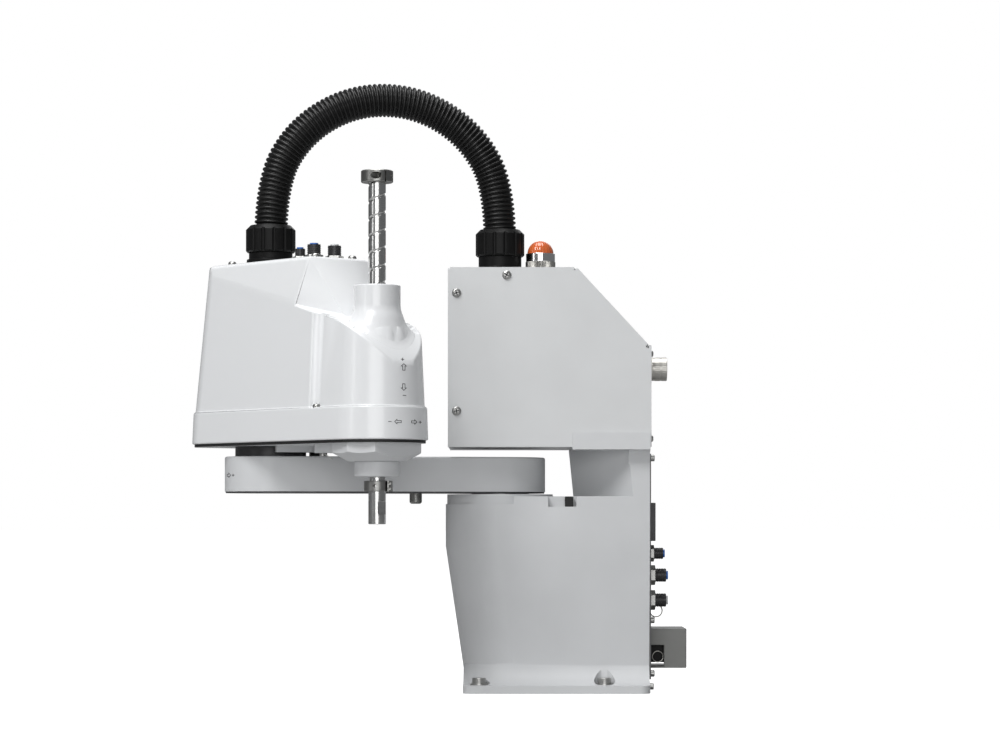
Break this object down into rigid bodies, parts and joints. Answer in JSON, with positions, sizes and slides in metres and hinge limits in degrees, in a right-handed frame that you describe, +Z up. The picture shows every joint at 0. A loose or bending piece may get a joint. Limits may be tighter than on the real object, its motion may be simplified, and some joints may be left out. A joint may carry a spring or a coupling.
{
  "type": "scara robot",
  "caption": "Tabletop SCARA robot: pedestal with a built-in controller box, jointed arms, hollow splined quill with clamp collars, and an arched conduit hose.",
  "frame": {"origin": "the first vertical axis in the mounting plane, on the underside of the foot", "axes": "+Z up along the first axis; the arm points along -X when both arm joints are straight; the rear panel faces +X; +Y is the robot's right side seen from behind the arm"},
  "size_m": [0.4782, 0.31, 0.5878],
  "materials": {
    "white_paint": "satin light grey-white paint",
    "cover_white": "glossy white moulding",
    "box_paint": "satin paint on sheet steel",
    "panel_paint": "satin paint on sheet steel",
    "dark_metal": "black oxide or black paint",
    "black_plastic": "matt black nylon",
    "hose_plastic": "corrugated black nylon",
    "black_rubber": "matt",
    "shaft_steel": "ground and polished",
    "collar_steel": "turned, plated",
    "bearing_steel": "ground",
    "machined_alu": "machined",
    "motor_black": "black stoved enamel",
    "belt_rubber": "moulded",
    "lamp_amber": "translucent amber",
    "lamp_chrome": "polished",
    "connector_metal": "nickel plated",
    "fitting_black": "ribbed dark plastic and nickel hexagon",
    "collet_blue": "moulded",
    "collet_white": "moulded",
    "board_green": "lacquered laminate",
    "supply_metal": "folded sheet",
    "bracket_grey": "dark grey sheet"
  },
  "bodies": {
    "base": {"base_casting": "white_paint", "rear_panel": "panel_paint", "j1_stop_blocks": "black_rubber", "j1_motor": "motor_black", "j1_reducer": "bearing_steel", "j1_bearing_cover": "white_paint", "controller_frame": "box_paint", "controller_cover_left": "box_paint", "controller_cover_right": "box_paint", "controller_rear_plate": "box_paint", "control_board": "board_green", "power_supply": "supply_metal", "signal_lamp_ring": "lamp_chrome", "signal_lamp_bezel": "lamp_chrome", "signal_lamp_lens": "lamp_amber", "conduit_gland_base": "black_plastic", "conduit_nut_base": "black_plastic", "teach_connector_shell": "connector_metal", "teach_connector_insert": "black_plastic", "io_connector": "dark_metal", "base_fittings": "fitting_black", "base_collets_blue": "collet_blue", "base_collet_white": "collet_white", "power_guard": "bracket_grey", "power_inlet": "black_plastic"},
    "arm1": {"j1_output_flange": "machined_alu", "arm1_casting": "white_paint", "arm1_bottom_cover": "dark_metal", "j1_stop_pin": "bearing_steel", "j2_flange": "dark_metal", "j2_stop_block": "black_rubber", "conduit_hose": "hose_plastic"},
    "arm2": {"arm2_casting": "white_paint", "arm2_gasket": "black_rubber", "arm2_cover": "cover_white", "drive_plate": "machined_alu", "z_motor_bridge": "machined_alu", "j2_reducer": "bearing_steel", "j2_motor": "motor_black", "u_motor": "motor_black", "z_motor": "motor_black", "u_belt": "belt_rubber", "z_belt": "belt_rubber", "spline_bearing": "bearing_steel", "spline_cover": "white_paint", "conduit_gland_arm": "black_plastic", "conduit_nut_arm": "black_plastic", "arm_fittings": "fitting_black", "arm_collets_blue": "collet_blue", "arm_collet_white": "collet_white"},
    "u_pulley": {"u_motor_pulley": "machined_alu"},
    "z_pulley": {"z_motor_pulley": "machined_alu"},
    "rotor": {"spline_nut": "bearing_steel"},
    "screw_nut": {"ball_nut": "bearing_steel"},
    "quill": {"shaft": "shaft_steel", "upper_collar": "collar_steel", "lower_collar": "collar_steel"}
  },
  "joints": [
    {"name": "j1_arm_swing", "type": "hinge", "parent": "base", "child": "arm1", "pos_m": [0, 0, 0.2], "axis": [0, 0, 1], "range_deg": [-143.6, 53.4]},
    {"name": "j2_forearm_swing", "type": "hinge", "parent": "arm1", "child": "arm2", "pos_m": [-0.2204, -0.04524, 0.235], "axis": [0, 0, 1], "range_deg": [-216.4, 24.6]},
    {"name": "j4_quill_turn", "type": "hinge", "parent": "arm2", "child": "rotor", "pos_m": [-0.11266, -0.18314, 0.23], "axis": [0, 0, 1], "range_deg": [-360, 360]},
    {"name": "j3_quill_travel", "type": "slide", "parent": "rotor", "child": "quill", "axis": [0, 0, 1], "range_m": [-0.15, 0]},
    {"name": "ball_nut_turn", "type": "hinge", "parent": "rotor", "child": "screw_nut", "pos_m": [-0.11266, -0.18314, 0.29], "axis": [0, 0, 1], "range_deg": [-60, 3700]},
    {"name": "u_pulley_turn", "type": "hinge", "parent": "arm2", "child": "u_pulley", "pos_m": [-0.18839, -0.08622, 0.255], "axis": [0, 0, 1], "range_deg": [-760, 760]},
    {"name": "z_pulley_turn", "type": "hinge", "parent": "arm2", "child": "z_pulley", "pos_m": [-0.16253, -0.11932, 0.298], "axis": [0, 0, 1], "range_deg": [-60, 5500]}
  ],
  "couplings": [
    {"joint": "ball_nut_turn", "follows": "j3_quill_travel", "rad_per_m": -392.7},
    {"joint": "z_pulley_turn", "follows": "j3_quill_travel", "rad_per_m": -589.05},
    {"joint": "u_pulley_turn", "follows": "j4_quill_turn", "ratio": 2}
  ]
}
